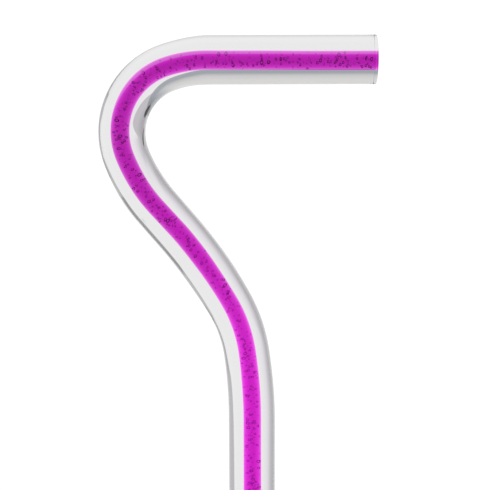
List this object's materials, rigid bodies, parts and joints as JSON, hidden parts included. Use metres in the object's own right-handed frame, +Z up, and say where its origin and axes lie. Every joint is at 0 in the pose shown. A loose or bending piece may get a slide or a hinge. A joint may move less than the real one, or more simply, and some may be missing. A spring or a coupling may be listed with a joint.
{
  "type": "walking cane",
  "caption": "Walking cane bent from one clear acrylic rod with a coloured bubbled core: straight handle, tight palm bend, offset swan neck, straight shaft, rubber ferrule.",
  "frame": {"origin": "centre of the ferrule's underside, on the shaft's axis", "axes": "+Z up along the shaft, +X towards the free end of the handle, +Y across the plane of the bends"},
  "size_m": [0.1429, 0.04, 0.92],
  "materials": {
    "clear_acrylic": "polished",
    "magenta_acrylic": "polished",
    "black_rubber": "matte",
    "zinc_steel": "satin"
  },
  "bodies": {
    "root": {"clear_rod": "clear_acrylic", "coloured_core": "magenta_acrylic", "ferrule": "black_rubber", "ferrule_washer": "zinc_steel"}
  },
  "joints": []
}
